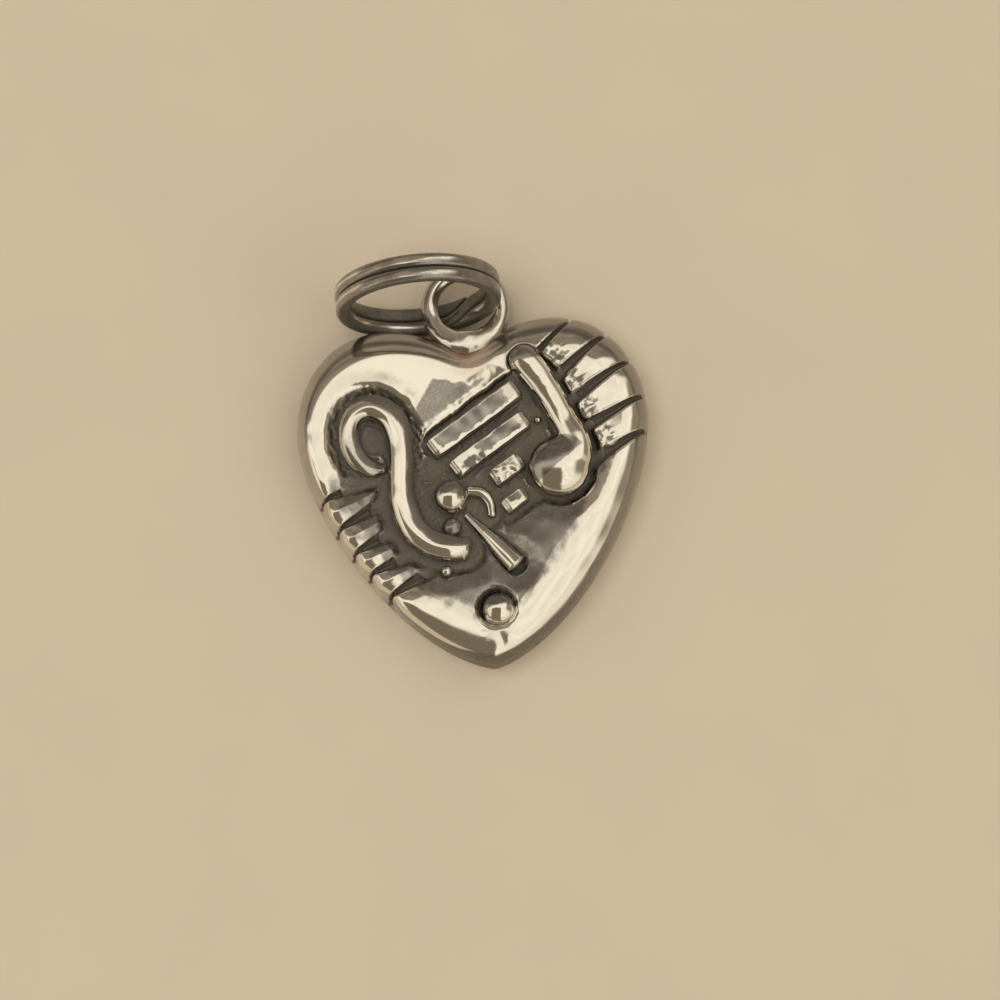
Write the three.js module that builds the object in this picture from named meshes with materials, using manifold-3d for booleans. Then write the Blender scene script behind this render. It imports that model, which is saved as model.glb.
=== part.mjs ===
// Heart charm: a puffed silver heart with a music motif, a soldered hanging loop and a split ring.
// The heart is a domed front, hollowed from behind, on a flat back plate. Wires, bars and beads are
// soldered into trenches cut in the front. The split ring hangs loose in the loop.
// Millimetres. The charm lies on its back: +Z is the way the front faces and +Y points to the loop.
// The origin is on the back face, in the middle of the heart.

import * as THREE from 'three';
import { mergeVertices } from 'three/addons/utils/BufferGeometryUtils.js';
import Module from 'manifold-3d';

// Heart outline at its widest level: the right half, the left half is its mirror
const heartHalfWidth = 6.55;
const heartWidestY = 2.4;
const lobeTopX = 3.2;
const lobeTopY = 6.3;
const notchY = 5.25;
const tipY = -6.7;
const notchHandle = 0.55;
const lobeInnerHandle = 2.0;
const lobeOuterHandle = 1.9;
const widestUpperHandle = 2.2;
const widestLowerHandle = 3.0;
const tipHandleX = 3.2;
const tipHandleY = 0.75;
const heartMiddleY = 0.6;

// Heart thickness: heights above the back face, and distances in from the widest outline
const backThickness = 0.5;
const backRound = 0.2;
const backFaceInset = 0.35;
const seamInset = 0.1;
const edgeLevel = 1.15;
const crestLevel = 2.5;
const crestLean = 0.07;
const dishLevel = 2.27;
const dishPower = 2;
const sideWall = 0.8;
const hollowCeiling = 1.3;

// The shoulder round the heart, by direction from its middle: how far in its crest lies, and how square it is
const shoulders = [
  { angle: -180, inset: 0.62, square: 2.4 },
  { angle: -165, inset: 0.65, square: 2.4 },
  { angle: -150, inset: 0.8, square: 2.4 },
  { angle: -125, inset: 0.8, square: 4.2 },
  { angle: -116, inset: 1.1, square: 4.2 },
  { angle: -104, inset: 1.42, square: 4.2 },
  { angle: -94, inset: 1.54, square: 4.2 },
  { angle: -80, inset: 1.45, square: 3.4 },
  { angle: -70, inset: 1.72, square: 3.3 },
  { angle: -56, inset: 1.8, square: 3.1 },
  { angle: -36, inset: 1.6, square: 2.9 },
  { angle: -17, inset: 1.38, square: 2.6 },
  { angle: 0, inset: 1.2, square: 2.4 },
  { angle: 16, inset: 1.05, square: 2.2 },
  { angle: 30, inset: 1.15, square: 2 },
  { angle: 50, inset: 1.5, square: 2 },
  { angle: 62, inset: 1.6, square: 2 },
  { angle: 74, inset: 1.4, square: 2 },
  { angle: 90, inset: 0.98, square: 2 },
  { angle: 104, inset: 1.27, square: 2 },
  { angle: 118, inset: 1.41, square: 2 },
  { angle: 132, inset: 1.17, square: 2 },
  { angle: 148, inset: 0.76, square: 2 },
  { angle: 160, inset: 0.6, square: 2.1 },
  { angle: 180, inset: 0.62, square: 2.4 },
];

// Solder joints between pieces
const solderGap = 0.03;

// Trenches on the front, with their margins round each ornament, places sunk to the same floor,
// and the tip bead's pit
const trenchFloor = 2.05;
const trenchHeadroom = 0.8;
const scrollMargin = 0.52;
const noteMargin = 0.4;
const flagMargin = 0.36;
const stemMargin = 0.2;
const sunkPlaces = [
  { x: -0.55, y: -0.85, radius: 1.35 },
  { x: -3.8, y: 2.0, radius: 0.8 },
  { x: -1.5, y: -3.1, radius: 0.34 },
];
const pitFloor = 1.8;
const pit = { x: 0.22, y: -4.7, radius: 0.77 };

// Staff grooves that run from the trenches over the edge: inner end, half width there, and direction
// of the outer end from the heart's middle
const grooveRimHalfWidth = 0.12;
const grooveDepth = 0.32;
const grooveRunOut = 0.35;
const staffGrooves = [
  { x: -3.45, y: 0.75, half: 0.3, rimAngle: -172.8 },
  { x: -3.2, y: -0.2, half: 0.36, rimAngle: -161.2 },
  { x: -3.0, y: -1.35, half: 0.38, rimAngle: -150.2 },
  { x: -2.45, y: -2.25, half: 0.38, rimAngle: -140.5 },
  { x: -1.9, y: -2.98, half: 0.34, rimAngle: -129.6 },
  { x: 2.75, y: 4.9, half: 0.14, rimAngle: 54.0 },
  { x: 3.3, y: 3.83, half: 0.28, rimAngle: 42.5 },
  { x: 3.76, y: 2.92, half: 0.3, rimAngle: 31.2 },
  { x: 4.25, y: 1.85, half: 0.28, rimAngle: 19.6 },
  { x: 4.15, y: 0.5, half: 0.28, rimAngle: 8.4 },
];

// Staff bars
const staffAngle = 31.5;
const barHeight = 0.62;
const barChamfer = 0.08;
const barGroove = 0.36;
const staffBars = [
  { x: 0.06, y: 2.42, length: 4.0, width: 0.72 },
  { x: 0.55, y: 1.42, length: 3.35, width: 0.66 },
  { x: 1.1, y: 0.43, length: 1.3, width: 0.55 },
  { x: 1.29, y: -0.76, length: 1.0, width: 0.52 },
];

// Wires: points along the middle with the wire's radius there, and the angle at which the underside is flat
const wireSeatAngle = 50;
const scrollWire = [
  { x: -3.45, y: 0.88, radius: 0.12 },
  { x: -3.85, y: 0.88, radius: 0.22 },
  { x: -4.3, y: 1.14, radius: 0.3 },
  { x: -4.6, y: 1.72, radius: 0.34 },
  { x: -4.62, y: 2.45, radius: 0.36 },
  { x: -4.32, y: 3.02, radius: 0.38 },
  { x: -3.7, y: 3.2, radius: 0.4 },
  { x: -3.08, y: 2.78, radius: 0.42 },
  { x: -2.8, y: 2.0, radius: 0.44 },
  { x: -2.78, y: 1.15, radius: 0.45 },
  { x: -2.86, y: 0.25, radius: 0.45 },
  { x: -2.88, y: -0.5, radius: 0.45 },
  { x: -2.62, y: -1.47, radius: 0.44 },
  { x: -2.02, y: -2.1, radius: 0.43 },
  { x: -1.36, y: -2.36, radius: 0.42 },
  { x: -0.6, y: -2.42, radius: 0.42 },
];
const noteWire = [
  { x: 2.1, y: 4.52, radius: 0.54 },
  { x: 2.48, y: 3.95, radius: 0.5 },
  { x: 2.8, y: 3.36, radius: 0.47 },
  { x: 3.09, y: 2.75, radius: 0.47 },
  { x: 3.38, y: 2.02, radius: 0.48 },
  { x: 3.68, y: 1.35, radius: 0.47 },
  { x: 3.82, y: 0.75, radius: 0.42 },
];
const flagWire = [
  { x: -0.38, y: -0.2, radius: 0.17 },
  { x: 0.05, y: -0.3, radius: 0.17 },
  { x: 0.34, y: -0.68, radius: 0.17 },
  { x: 0.38, y: -1.15, radius: 0.16 },
];
const stemWire = [
  { x: -0.56, y: -1.08, radius: 0.14 },
  { x: 0.28, y: -2.1, radius: 0.28 },
  { x: 1.08, y: -3.1, radius: 0.37 },
];

// Beads: places, radii, heights above what they sit on, and the margins of their trenches
const noteHead = { x: 3.0, y: 0.36, radius: 1.14, height: 1.3, margin: 0.26 };
const smallHead = { x: -1.08, y: -0.41, radius: 0.6, height: 1.05, margin: 0.42 };
const smallDot = { x: -1.13, y: -1.52, radius: 0.37, height: 0.5, margin: 0.34 };
const tipBead = { x: 0.32, y: -4.72, radius: 0.57, height: 0.95 };
const granules = [
  { x: -1.48, y: -3.12, radius: 0.21, height: 0.36 },
  { x: 2.4, y: 2.24, radius: 0.15, height: 0.26 },
];
const beadSeatAngle = 35;

// Hanging loop in the notch
const loopOffsetX = 0.15;
const loopRise = 1.7;
const loopLevel = 1.4;
const loopMeanRadius = 1.34;
const loopWireRadius = 0.3;

// Split ring through the loop
const ringOuterRadius = 3.08;
const ringWidth = 1.05;
const ringWireRadial = 0.5;
const ringTurnGap = 0.42;
const ringCrossAngle = 50;
const ringEndAngle = 12;
const ringLean = 7;
const ringLoopClearance = 0.09;
const ringLobeClearance = 0.1;
const ringGroundGap = 0.02;

// Smoothness: counts of steps
const outlineSteps = 10;
const shoulderSteps = 6;
const dishSteps = 3;
const grooveSteps = 7;
const wireStepsPerPoint = 3;
const wireSides = 10;
const beadSides = 18;
const beadSteps = 6;
const trenchSides = 20;
const trenchStep = 0.4;
const loopSides = 10;
const loopSteps = 32;
const ringStepsPerTurn = 36;
const ringSides = 8;

const wasm = await Module();
wasm.setup();
const radians = THREE.MathUtils.degToRad;
const heartMiddle = new THREE.Vector2(0, heartMiddleY);

// A solid for cutting and joining, from a closed geometry
function solidOf(geometry) {
  const bare = geometry.clone();
  bare.deleteAttribute('normal');
  bare.deleteAttribute('uv');
  const merged = mergeVertices(bare, 1e-5);
  const triVerts = [];
  for (let i = 0; i < merged.index.count; i += 3) {
    const [a, b, c] = merged.index.array.slice(i, i + 3);
    if (a !== b && b !== c && c !== a) triVerts.push(a, b, c);
  }
  const vertProperties = new Float32Array(merged.attributes.position.array);
  const mesh = new wasm.Mesh({ numProp: 3, vertProperties, triVerts: new Uint32Array(triVerts) });
  return new wasm.Manifold(mesh);
}

// The geometry of a solid that has been cut or joined
function geometryOf(solid) {
  const mesh = solid.getMesh();
  const geometry = new THREE.BufferGeometry();
  geometry.setAttribute('position', new THREE.BufferAttribute(mesh.vertProperties, 3));
  geometry.setIndex(new THREE.BufferAttribute(mesh.triVerts, 1));
  geometry.computeVertexNormals();
  return geometry;
}

// Joins a row of rings of points into a closed skin, with a fan of triangles at each end
function loft(rings, startMiddle, endMiddle) {
  const sides = rings[0].length;
  const points = [...rings.flat(), startMiddle, endMiddle];
  const start = points.length - 2;
  const end = points.length - 1;
  const lastRing = (rings.length - 1) * sides;
  const index = [];
  for (let j = 0; j < sides; j += 1) {
    const next = (j + 1) % sides;
    for (let i = 0; i < lastRing; i += sides) {
      index.push(i + j, i + next, i + sides + j);
      index.push(i + next, i + sides + next, i + sides + j);
    }
    index.push(start, next, j);
    index.push(end, lastRing + j, lastRing + next);
  }
  const geometry = new THREE.BufferGeometry().setFromPoints(points);
  geometry.setIndex(index);
  geometry.computeVertexNormals();
  return geometry;
}

// Carries a section along stations; each has a place, two directions and the section's points in them
function sweep(stations) {
  const rings = stations.map(({ place, across, up, section }) => section.map(([a, b]) => (
    place.clone().addScaledVector(across, a).addScaledVector(up, b)
  )));
  return loft(rings, stations[0].place, stations.at(-1).place);
}

// Closed outline of the heart, seen from the front, from the notch down the left and up the right
function heartOutline() {
  const half = new THREE.Path();
  half.moveTo(0, notchY);
  half.bezierCurveTo(
    notchHandle, notchY, lobeTopX - lobeInnerHandle, lobeTopY, lobeTopX, lobeTopY,
  );
  half.bezierCurveTo(
    lobeTopX + lobeOuterHandle, lobeTopY,
    heartHalfWidth, heartWidestY + widestUpperHandle, heartHalfWidth, heartWidestY,
  );
  half.bezierCurveTo(
    heartHalfWidth, heartWidestY - widestLowerHandle, tipHandleX, tipY + tipHandleY, 0, tipY,
  );
  const right = half.getPoints(outlineSteps);
  const left = right.map((point) => new THREE.Vector2(-point.x, point.y));
  return [...left, ...right.slice(1, -1).reverse()];
}
const outline = heartOutline();

// Distance from the heart's middle to its outline along a direction
function reachTowards(direction) {
  let reach = 0;
  outline.forEach((corner, i) => {
    const side = outline[(i + 1) % outline.length].clone().sub(corner);
    const fromMiddle = corner.clone().sub(heartMiddle);
    const turn = direction.cross(side);
    const distance = fromMiddle.cross(side) / turn;
    const share = fromMiddle.cross(direction) / turn;
    if (distance > 0 && share >= 0 && share <= 1) reach = Math.max(reach, distance);
  });
  return reach;
}

// The shoulder's inset and squareness towards a direction from the heart's middle
function shoulderTowards(direction) {
  const angle = THREE.MathUtils.radToDeg(Math.atan2(direction.y, direction.x));
  const after = Math.max(shoulders.findIndex((stop) => stop.angle >= angle), 1);
  const [low, high] = [shoulders[after - 1], shoulders[after]];
  const share = (angle - low.angle) / (high.angle - low.angle);
  return {
    inset: THREE.MathUtils.lerp(low.inset, high.inset, share),
    square: THREE.MathUtils.lerp(low.square, high.square, share),
  };
}

// Height of the front along a direction from the middle: a shoulder whose section is a squared ellipse,
// then a shallow dish
function frontLevel(direction, distance, reach) {
  const { inset, square } = shoulderTowards(direction);
  const crest = crestLevel - crestLean * direction.y;
  const fall = Math.min(1 - (reach - distance) / inset, 1);
  if (fall > 0) return edgeLevel + (crest - edgeLevel) * (1 - fall ** square) ** (1 / square);
  const share = distance / (reach - inset);
  return dishLevel + (crest - dishLevel) * share ** dishPower;
}

// One ring of the heart, drawn in from the widest outline to a height
function heartRing(inset, height) {
  return outline.map((corner) => {
    const spoke = corner.clone().sub(heartMiddle);
    const place = spoke.setLength(spoke.length() - inset).add(heartMiddle);
    return new THREE.Vector3(place.x, place.y, height);
  });
}

// One ring of the front, at distances from the middle that follow from the reach and the shoulder there
function frontRing(distanceOf) {
  return outline.map((corner) => {
    const spoke = corner.clone().sub(heartMiddle);
    const reach = spoke.length();
    const direction = spoke.clone().normalize();
    const distance = distanceOf(reach, shoulderTowards(direction));
    const place = spoke.setLength(distance).add(heartMiddle);
    return new THREE.Vector3(place.x, place.y, frontLevel(direction, distance, reach));
  });
}

// A solid between heart-shaped rings, closed flat below and at a given height above
function heartLoft(rings, topLevel) {
  const bottom = new THREE.Vector3(heartMiddle.x, heartMiddle.y, rings[0][0].z);
  const top = new THREE.Vector3(heartMiddle.x, heartMiddle.y, topLevel);
  return loft(rings, bottom, top);
}

// Section of a wire with a flat underside, which lies at height 0
function wireSection(radius) {
  const from = -radians(wireSeatAngle);
  const sweepAngle = Math.PI - 2 * from;
  return Array.from({ length: wireSides }, (_, k) => {
    const angle = from + sweepAngle * k / (wireSides - 1);
    return [radius * Math.cos(angle), radius * (Math.sin(angle) - Math.sin(from))];
  });
}

// A tapering wire laid flat along its points
function wire(points) {
  const curve = new THREE.CatmullRomCurve3(points.map(({ x, y }) => new THREE.Vector3(x, y, 0)));
  const steps = (points.length - 1) * wireStepsPerPoint;
  return sweep(Array.from({ length: steps + 1 }, (_, k) => {
    const before = Math.min(Math.floor(k / wireStepsPerPoint), points.length - 2);
    const share = k / wireStepsPerPoint - before;
    const radius = THREE.MathUtils.lerp(points[before].radius, points[before + 1].radius, share);
    const along = curve.getTangent(k / steps);
    return {
      place: curve.getPoint(k / steps),
      across: new THREE.Vector3(-along.y, along.x, 0),
      up: new THREE.Vector3(0, 0, 1),
      section: wireSection(radius),
    };
  }));
}

// A bead with a flat seat at height 0
function bead({ radius, height }) {
  const seat = radians(beadSeatAngle);
  const rise = height / (1 + Math.sin(seat));
  const profile = [new THREE.Vector2(0, 0)];
  for (let k = 0; k < beadSteps; k += 1) {
    const angle = -seat + (Math.PI / 2 + seat) * k / beadSteps;
    profile.push(new THREE.Vector2(radius * Math.cos(angle), rise * (Math.sin(angle) + Math.sin(seat))));
  }
  profile.push(new THREE.Vector2(0, height));
  return new THREE.LatheGeometry(profile, beadSides).rotateX(Math.PI / 2);
}

// A flat bar along X with chamfered edges, standing on height 0
function bar({ length, width }) {
  const half = width / 2;
  const section = (inset) => [
    [half - inset, 0],
    [half - inset, barHeight - barChamfer - inset],
    [half - barChamfer - inset, barHeight - inset],
    [-half + barChamfer + inset, barHeight - inset],
    [-half + inset, barHeight - barChamfer - inset],
    [-half + inset, 0],
  ];
  const ends = [
    { at: -length / 2, inset: barChamfer },
    { at: -length / 2 + barChamfer, inset: 0 },
    { at: length / 2 - barChamfer, inset: 0 },
    { at: length / 2, inset: barChamfer },
  ];
  return sweep(ends.map(({ at, inset }) => ({
    place: new THREE.Vector3(at, 0, 0),
    across: new THREE.Vector3(0, 1, 0),
    up: new THREE.Vector3(0, 0, 1),
    section: section(inset),
  })));
}

// An upright round cutter from a floor to above the front
function roundCut({ x, y }, radius, floor) {
  const height = trenchFloor + trenchHeadroom - floor;
  const cutter = new THREE.CylinderGeometry(radius, radius, height, trenchSides).rotateX(Math.PI / 2);
  return solidOf(cutter.translate(x, y, floor + height / 2));
}

// A trench along a wire, wider than the wire by the margin on each side
function wireTrench(points, margin) {
  const withRadius = points.map(({ x, y, radius }) => new THREE.Vector3(x, y, radius));
  const curve = new THREE.CatmullRomCurve3(withRadius);
  const cuts = curve.getSpacedPoints(Math.ceil(curve.getLength() / trenchStep));
  return cuts.map((place) => roundCut(place, place.z + margin, trenchFloor));
}

// The trench round a staff bar, which leaves a groove on each side of it
function barTrench({ x, y, length, width }) {
  const cutter = new THREE.BoxGeometry(length + 2 * barGroove, width + 2 * barGroove, trenchHeadroom);
  cutter.rotateZ(radians(staffAngle));
  return solidOf(cutter.translate(x, y, trenchFloor + trenchHeadroom / 2));
}

// A staff groove that follows the front from its inner end over the edge
function staffGroove({ x, y, half: innerHalf, rimAngle }) {
  const direction = new THREE.Vector2(Math.cos(radians(rimAngle)), Math.sin(radians(rimAngle)));
  const inner = new THREE.Vector2(x, y);
  const rim = direction.clone().multiplyScalar(reachTowards(direction)).add(heartMiddle);
  const places = Array.from({ length: grooveSteps + 1 }, (_, k) => {
    const place = inner.clone().lerp(rim, k / grooveSteps);
    const spoke = place.clone().sub(heartMiddle);
    const towards = spoke.clone().normalize();
    return new THREE.Vector3(place.x, place.y, frontLevel(towards, spoke.length(), reachTowards(towards)));
  });
  places.push(new THREE.Vector3(rim.x, rim.y, edgeLevel - grooveRunOut));
  const flat = rim.clone().sub(inner).normalize();
  const across = new THREE.Vector3(-flat.y, flat.x, 0);
  return solidOf(sweep(places.map((place, k) => {
    const before = places[Math.max(k - 1, 0)];
    const after = places[Math.min(k + 1, places.length - 1)];
    const along = after.clone().sub(before).normalize();
    const share = Math.min(k / grooveSteps, 1);
    const half = THREE.MathUtils.lerp(innerHalf, grooveRimHalfWidth, share);
    return {
      place,
      across,
      up: along.cross(across),
      section: [[half, 0], [0, grooveDepth], [-half, 0], [0, -grooveDepth]],
    };
  })));
}

// Hanging loop, as wide as its wire or grown by the solder gap to cut its seat
const loopY = notchY + loopRise;
function loop(growth) {
  return new THREE.TorusGeometry(loopMeanRadius, loopWireRadius + growth, loopSides, loopSteps);
}

// Domed front with its hollow, trenches, grooves and the loop's seat
function heartFront() {
  const rings = [heartRing(seamInset, backThickness + solderGap)];
  for (let k = 0; k <= shoulderSteps; k += 1) {
    const turn = Math.PI / 2 * k / shoulderSteps;
    rings.push(frontRing((reach, { inset, square }) => (
      reach - inset * (1 - Math.max(Math.cos(turn), 0) ** (2 / square))
    )));
  }
  for (let k = 1; k <= dishSteps; k += 1) {
    rings.push(frontRing((reach, { inset }) => (reach - inset) * (1 - k / (dishSteps + 1))));
  }
  const hollow = [heartRing(seamInset + sideWall, 0), heartRing(seamInset + sideWall, hollowCeiling)];
  const cuts = [
    solidOf(heartLoft(hollow, hollowCeiling)),
    solidOf(loop(solderGap).translate(loopOffsetX, loopY, loopLevel)),
    ...wireTrench(scrollWire, scrollMargin),
    ...wireTrench(noteWire, noteMargin),
    ...wireTrench(flagWire, flagMargin),
    ...wireTrench(stemWire, stemMargin),
    ...[noteHead, smallHead, smallDot].map((seat) => roundCut(seat, seat.radius + seat.margin, trenchFloor)),
    ...sunkPlaces.map((place) => roundCut(place, place.radius, trenchFloor)),
    roundCut(pit, pit.radius, pitFloor),
    ...staffBars.map(barTrench),
    ...staffGrooves.map(staffGroove),
  ];
  const front = cuts.reduce((solid, cut) => solid.subtract(cut), solidOf(heartLoft(rings, dishLevel)));
  return geometryOf(front);
}

// Flat back plate with a rounded lower edge
function heartBack() {
  const rings = [
    heartRing(backFaceInset, 0),
    heartRing(seamInset, backRound),
    heartRing(seamInset, backThickness),
  ];
  return heartLoft(rings, backThickness);
}

// Large note: a stem of wire that runs into a round head
function largeNote() {
  const head = bead(noteHead).translate(noteHead.x, noteHead.y, 0);
  return geometryOf(solidOf(wire(noteWire)).add(solidOf(head)));
}

// Split ring about the Y axis: one wire that runs a turn, crosses over and runs a second turn beside the first
const ringWireAxial = (ringWidth - ringTurnGap) / 2;
const ringMeanRadius = ringOuterRadius - ringWireRadial / 2;
function ringStations() {
  const firstTurn = 360 - ringCrossAngle;
  const wholeAngle = firstTurn + 360 - 2 * ringEndAngle;
  const steps = Math.ceil(ringStepsPerTurn * wholeAngle / 360);
  const section = Array.from({ length: ringSides }, (_, k) => {
    const angle = 2 * Math.PI * k / ringSides;
    return [ringWireRadial / 2 * Math.cos(angle), ringWireAxial / 2 * Math.sin(angle)];
  });
  return Array.from({ length: steps + 1 }, (_, k) => {
    const angle = ringEndAngle + wholeAngle * k / steps;
    const crossed = THREE.MathUtils.smoothstep(angle, firstTurn, 360);
    const across = new THREE.Vector3(Math.cos(radians(angle)), 0, Math.sin(radians(angle)));
    const up = new THREE.Vector3(0, 1, 0);
    const place = across.clone().multiplyScalar(ringMeanRadius);
    place.addScaledVector(up, (crossed - 0.5) * (ringWidth - ringWireAxial));
    return { place, across, up, section };
  });
}

// Least gap between stretches of the ring's wire that lie half a turn or more apart along it
function ringLeastGap(stations) {
  const skins = stations.map((station) => station.section.map(([a, b]) => (
    station.place.clone().addScaledVector(station.across, a).addScaledVector(station.up, b)
  )));
  let least = Infinity;
  skins.forEach((skin, i) => {
    for (const other of skins.slice(i + ringStepsPerTurn / 2)) {
      for (const point of skin) {
        least = Math.min(least, ...other.map((otherPoint) => point.distanceTo(otherPoint)));
      }
    }
  });
  return least;
}

// One named piece with its own metal
function piece(name, geometry, color, roughness) {
  const material = new THREE.MeshStandardMaterial({ color, roughness, metalness: 1 });
  const mesh = new THREE.Mesh(geometry, material);
  mesh.name = name;
  return mesh;
}

const charm = new THREE.Group();
charm.add(piece('heart_front', heartFront(), 0xb9b0a2, 0.28));

const back = piece('heart_back', heartBack(), 0xb4ada0, 0.38);
charm.add(back);

const hangingLoop = piece('hanging_loop', loop(0), 0xc2b5a3, 0.25);
hangingLoop.position.set(loopOffsetX, loopY, loopLevel);
charm.add(hangingLoop);

// Ornaments stand on the trench floor
const ornaments = new THREE.Group();
ornaments.position.z = trenchFloor + solderGap;
charm.add(ornaments);
ornaments.add(piece('clef_scroll', wire(scrollWire), 0xcfc7b8, 0.22));
ornaments.add(piece('large_note', largeNote(), 0xcfc7b8, 0.2));
ornaments.add(piece('small_note_flag', wire(flagWire), 0xc9c0b1, 0.25));
ornaments.add(piece('small_note_stem', wire(stemWire), 0xcfc7b8, 0.22));
const beads = [
  ['small_note_head', smallHead],
  ['small_note_dot', smallDot],
  ...granules.map((granule, k) => [`granule_${k + 1}`, granule]),
];
for (const [name, seat] of beads) {
  const ball = piece(name, bead(seat), 0xcdc4b4, 0.22);
  ball.position.set(seat.x, seat.y, 0);
  ornaments.add(ball);
}
staffBars.forEach((place, k) => {
  const staffBar = piece(`staff_bar_${k + 1}`, bar(place), 0xc4bdb0, 0.4);
  staffBar.position.set(place.x, place.y, 0);
  staffBar.rotation.z = radians(staffAngle);
  ornaments.add(staffBar);
});

const tipBall = piece('tip_bead', bead(tipBead), 0xcdc4b4, 0.2);
tipBall.position.set(tipBead.x, tipBead.y, pitFloor + solderGap);
charm.add(tipBall);

// The split ring stands on the ground and leans back, with one side down through the loop's hole
const lean = radians(ringLean);
const ringCentreLevel = ringGroundGap + ringOuterRadius * Math.cos(lean) + ringWidth / 2 * Math.sin(lean);
const ringDrop = (ringCentreLevel - loopLevel) / Math.cos(lean);
const ringChord = Math.sqrt(ringMeanRadius ** 2 - ringDrop ** 2);
const ringHalfCut = ringWireRadial / 2 * ringMeanRadius / ringChord;
const holeRoom = loopMeanRadius - loopWireRadius - ringLoopClearance;
const ringCrossing = Math.sqrt(holeRoom ** 2 - (ringWidth / 2) ** 2) - ringHalfCut;

// It lies against the left lobe, seen from the loop's middle
const lobeFromLoop = new THREE.Vector2(-lobeTopX - loopOffsetX, lobeTopY - loopY);
const lobeClearAngle = Math.asin((ringWidth / 2 + ringLobeClearance) / lobeFromLoop.length());
const ringSwing = new THREE.Group();
ringSwing.position.set(loopOffsetX, loopY, 0);
ringSwing.rotation.z = lobeFromLoop.angle() - lobeClearAngle - Math.PI;
charm.add(ringSwing);

const stations = ringStations();
console.log(`split ring, least gap between its turns: ${ringLeastGap(stations).toFixed(3)} mm`);
const splitRing = piece('split_ring', sweep(stations), 0x8f877a, 0.25);
splitRing.position.set(ringCrossing - ringChord, Math.tan(lean) * (ringCentreLevel - loopLevel), ringCentreLevel);
splitRing.rotation.set(-lean, Math.PI, 0, 'XYZ');
ringSwing.add(splitRing);

export default charm;
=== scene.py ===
import math

import bpy
import numpy as np
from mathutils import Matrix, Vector


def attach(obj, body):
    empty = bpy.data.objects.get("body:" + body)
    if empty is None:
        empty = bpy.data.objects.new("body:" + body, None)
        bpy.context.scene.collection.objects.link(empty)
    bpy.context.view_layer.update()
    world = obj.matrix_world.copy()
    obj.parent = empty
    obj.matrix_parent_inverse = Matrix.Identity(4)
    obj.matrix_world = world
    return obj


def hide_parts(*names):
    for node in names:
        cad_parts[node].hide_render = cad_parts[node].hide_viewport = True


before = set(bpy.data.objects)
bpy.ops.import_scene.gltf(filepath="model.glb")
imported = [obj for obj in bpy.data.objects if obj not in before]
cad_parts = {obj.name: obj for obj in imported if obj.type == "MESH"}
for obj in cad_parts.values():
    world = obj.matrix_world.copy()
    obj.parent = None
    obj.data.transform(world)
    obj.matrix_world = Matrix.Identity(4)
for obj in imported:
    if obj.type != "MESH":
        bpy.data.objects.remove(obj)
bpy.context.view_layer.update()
scene = bpy.context.scene
millimetre = 0.001  # shapes are worked out in millimetres and put into the mesh in metres
tau = 2 * math.pi
print("frame loaded:", len(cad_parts), "CAD nodes")


# Small tools for shapes

def smoothStep(low, high, value):  # 0 below low, 1 above high, and an S-curve between them
    share = np.clip((value - low) / (high - low), 0, 1)
    return share * share * (3 - 2 * share)


# soft unevenness: a sum of cosine waves about one size long, each with a seeded heading
def ripple(points, size, seed, waves=40):
    draw = np.random.default_rng(seed)
    heading = draw.normal(size=(points.shape[-1], waves))
    heading /= np.linalg.norm(heading, axis=0) * size * draw.uniform(0.7, 1.5, waves)
    return np.cos(tau * (points @ heading + draw.random(waves))).sum(-1) * math.sqrt(2 / waves)


# Catmull-Rom curve through the stops, read at even steps of its length in x and y
def smoothPath(stops, count):
    stops = np.array(stops, float)
    padded = np.concatenate([2 * stops[:1] - stops[1:2], stops, 2 * stops[-1:] - stops[-2:-1]])
    share = np.linspace(0, 1, 41)[:-1, None]
    before, start, end, after = (padded[k:len(padded) - 3 + k, None] for k in range(4))
    curve = 0.5 * (2 * start + (end - before) * share
                   + (2 * before - 5 * start + 4 * end - after) * share ** 2
                   + (3 * start - before - 3 * end + after) * share ** 3)
    curve = np.concatenate([curve.reshape(-1, stops.shape[1]), stops[-1:]])
    length = np.concatenate([[0], np.linalg.norm(np.diff(curve[:, :2], axis=0), axis=1).cumsum()])
    even = np.linspace(0, length[-1], count)
    return np.stack([np.interp(even, length, column) for column in curve.T], 1)


# rows of ring points joined into a closed skin, with a middle point that closes each end
def skinFaces(rings):
    rows, sides = rings.shape[:2]
    points = np.concatenate([rings.reshape(-1, 3), rings[:1].mean(1), rings[-1:].mean(1)])
    row, side = np.meshgrid(np.arange(rows - 1), np.arange(sides), indexing="ij")
    here, beside = row * sides + side, row * sides + (side + 1) % sides
    quads = np.stack([here, beside, beside + sides, here + sides], -1).reshape(-1, 4)
    side, beside = np.arange(sides), (np.arange(sides) + 1) % sides
    lastRow, ends = (rows - 1) * sides, np.full(sides, rows * sides)
    fans = np.concatenate([np.stack([beside, side, ends], 1),
                           np.stack([lastRow + side, lastRow + beside, ends + 1], 1)])
    corner = points[np.concatenate([quads[:, :3], quads[:, [0, 2, 3]], fans])]
    volume = (corner[:, 0] * np.cross(corner[:, 1], corner[:, 2])).sum()
    if volume < 0:  # turned inside out, so each face is walked the other way round
        quads, fans = quads[:, ::-1], fans[:, ::-1]
    return points, quads, fans


def skin(name, rings, **marks):  # a closed skin as a mesh, with each mark as an attribute of its points
    points, quads, fans = skinFaces(rings)
    mesh = bpy.data.meshes.new(name)
    mesh.from_pydata((points * millimetre).tolist(), [], quads.tolist() + fans.tolist())
    for mark, values in marks.items():
        column = np.concatenate([values.ravel(), values[:1].mean(1), values[-1:].mean(1)]).astype(np.float32)
        mesh.attributes.new(mark, "FLOAT", "POINT").data.foreach_set("value", column)
    return mesh


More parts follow.
